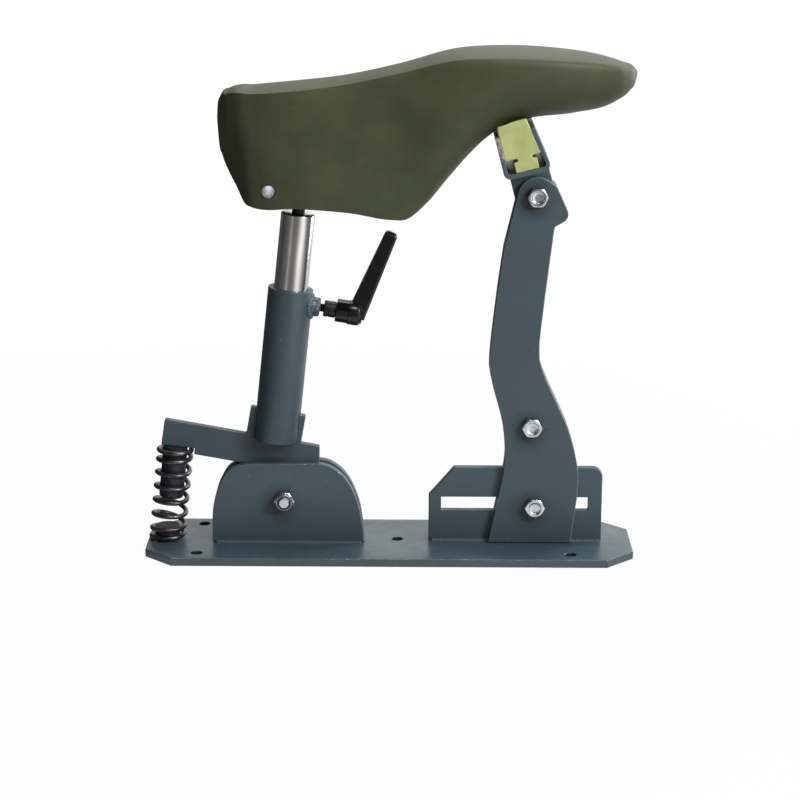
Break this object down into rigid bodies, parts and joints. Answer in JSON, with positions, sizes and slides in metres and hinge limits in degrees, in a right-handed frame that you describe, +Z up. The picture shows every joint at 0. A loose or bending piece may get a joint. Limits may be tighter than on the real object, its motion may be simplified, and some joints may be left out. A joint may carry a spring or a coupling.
{
  "type": "cobbler last",
  "caption": "Upside-down shoe last on a sprung, height-adjustable post, its toe on a padded rest atop a slotted arm, all on a flat steel base.",
  "frame": {"origin": "middle of the base plate's underside, where it rests on the bench", "axes": "+Z up, +X along the base from the last's heel to its toe, +Y to the back as pictured"},
  "size_m": [0.35, 0.09, 0.3613],
  "materials": {
    "powder_coat": "satin blue-grey powder coat on welded sheet steel",
    "bright_zinc": "bright zinc plate",
    "black_steel": "black oxide on turned steel",
    "nylon_ring": "moulded nylon",
    "oiled_spring_steel": "dark oiled spring wire",
    "bright_rod": "bright drawn and polished",
    "olive_last": "smooth turned plastic, slightly scuffed",
    "black_plastic": "fine-textured moulded plastic",
    "clear_green_pad": "translucent cast urethane"
  },
  "bodies": {
    "stand": {"base_plate": "powder_coat", "hinge_cheek_front": "powder_coat", "hinge_cheek_back": "powder_coat", "spring_boss": "powder_coat", "arm_bracket": "powder_coat", "pivot_bolt": "bright_zinc", "pivot_lock_nut": "bright_zinc", "lock_nut_ring": "nylon_ring", "return_spring": "oiled_spring_steel"},
    "rocker": {"rocker_lever": "powder_coat", "spring_guide_post": "powder_coat", "socket_tube": "powder_coat", "clamp_boss": "powder_coat"},
    "height_rod": {"height_rod": "bright_rod"},
    "last_pin": {"last_pin": "black_steel"},
    "last": {"last_body": "olive_last", "last_thimble": "bright_zinc", "pull_hole_bush": "bright_zinc"},
    "clamp_screw": {"clamp_stud": "black_steel", "clamp_insert": "black_steel", "clamp_retaining_screw": "black_steel", "clamp_handle_spring": "bright_zinc"},
    "clamp_handle": {"clamp_handle": "black_plastic"},
    "arm": {"arm_plate_front": "powder_coat", "arm_plate_back": "powder_coat", "arm_spacer": "bright_zinc", "spacer_bolt": "bright_zinc", "spacer_nut": "bright_zinc", "slot_bolt": "bright_zinc", "slot_nut": "bright_zinc", "toe_rest_bolt": "bright_zinc", "toe_rest_nut": "bright_zinc"},
    "toe_rest": {"toe_rest_tang": "powder_coat", "toe_rest_channel": "powder_coat", "toe_rest_pad": "clear_green_pad"}
  },
  "joints": [
    {"name": "rocker_hinge", "type": "hinge", "parent": "stand", "child": "rocker", "pos_m": [-0.0755, 0, 0.0385], "axis": [0, -1, 0], "range_deg": [0, 12], "stiffness_Nm_per_rad": 70, "springref_deg": -6.88, "deforming": ["return_spring"]},
    {"name": "height_slide", "type": "slide", "parent": "rocker", "child": "height_rod", "axis": [0.1045, 0, 0.9945], "range_m": [0, 0.05]},
    {"name": "last_swivel", "type": "hinge", "parent": "height_rod", "child": "last_pin", "pos_m": [-0.06377, 0, 0.25282], "axis": [0.1045, 0, 0.9945], "continuous": true},
    {"name": "last_lift", "type": "slide", "parent": "last_pin", "child": "last", "axis": [0.1045, 0, 0.9945], "range_m": [0, 0.06]},
    {"name": "clamp_turn", "type": "hinge", "parent": "rocker", "child": "clamp_screw", "pos_m": [-0.07124, 0, 0.18181], "axis": [0.9877, 0, -0.1564], "range_deg": [0, 180]},
    {"name": "clamp_handle_lift", "type": "slide", "parent": "clamp_screw", "child": "clamp_handle", "axis": [0.9877, 0, -0.1564], "range_m": [0, 0.0028], "stiffness_N_per_m": 400, "springref_m": -0.005, "deforming": ["clamp_handle_spring"]},
    {"name": "arm_slide", "type": "slide", "parent": "stand", "child": "arm", "axis": [1, 0, 0], "range_m": [0, 0.034]},
    {"name": "toe_rest_tilt", "type": "hinge", "parent": "arm", "child": "toe_rest", "pos_m": [0.10247, 0, 0.2599], "axis": [0, -1, 0], "range_deg": [-15, 20]}
  ]
}
